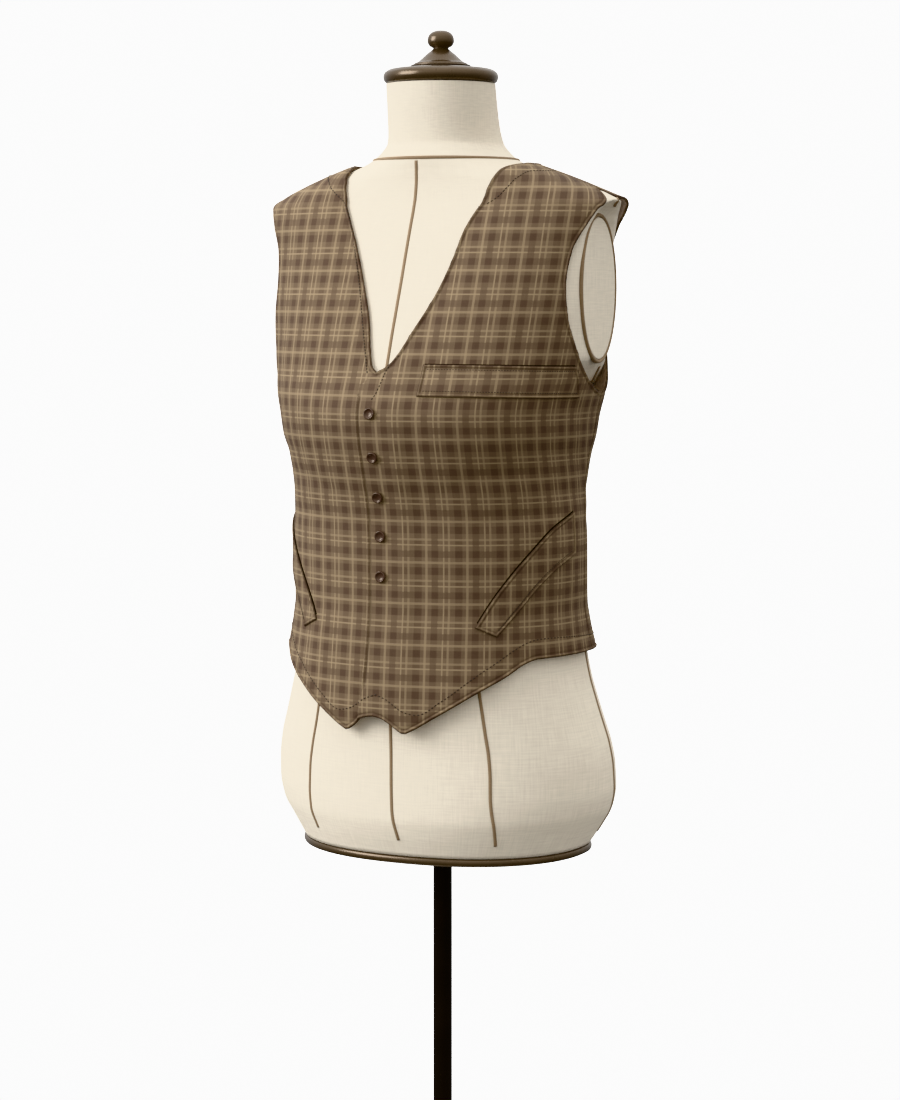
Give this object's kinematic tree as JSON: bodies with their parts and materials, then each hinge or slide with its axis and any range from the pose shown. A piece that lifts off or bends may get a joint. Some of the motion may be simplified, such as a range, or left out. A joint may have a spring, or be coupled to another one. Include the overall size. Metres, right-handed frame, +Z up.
{
  "type": "suit waistcoat on a dress form stand",
  "caption": "Checked V-neck suit waistcoat with a buttoned lapped front, pointed hem and welt pockets, on a linen dress form with a turned neck cap, pole and round foot.",
  "frame": {"origin": "on the floor under the pole's axis, at the middle of the round foot", "axes": "+Z up along the pole, +X toward the wearer's left, -Y toward the waistcoat's front"},
  "size_m": [0.3776, 0.33, 1.501],
  "materials": {
    "waistcoat_cloth": "matt woven wool check in browns and tan",
    "button": "polished dark horn look",
    "form_linen": "plain woven cream linen",
    "tape": "narrow brown cotton tape and piping",
    "bronze": "glossy dark bronze",
    "black_metal": "satin black enamel"
  },
  "bodies": {
    "root": {"front_left": "waistcoat_cloth", "front_right": "waistcoat_cloth", "back_left": "waistcoat_cloth", "back_right": "waistcoat_cloth", "welt_chest": "waistcoat_cloth", "welt_left": "waistcoat_cloth", "welt_right": "waistcoat_cloth", "button_1": "button", "button_2": "button", "button_3": "button", "button_4": "button", "button_5": "button", "form_torso": "form_linen", "base_rim": "bronze", "arm_plate_left": "form_linen", "arm_plate_right": "form_linen", "arm_ring_left": "tape", "arm_ring_right": "tape", "neck_cap": "bronze", "finial": "bronze", "pole": "black_metal", "foot": "black_metal"}
  },
  "joints": []
}
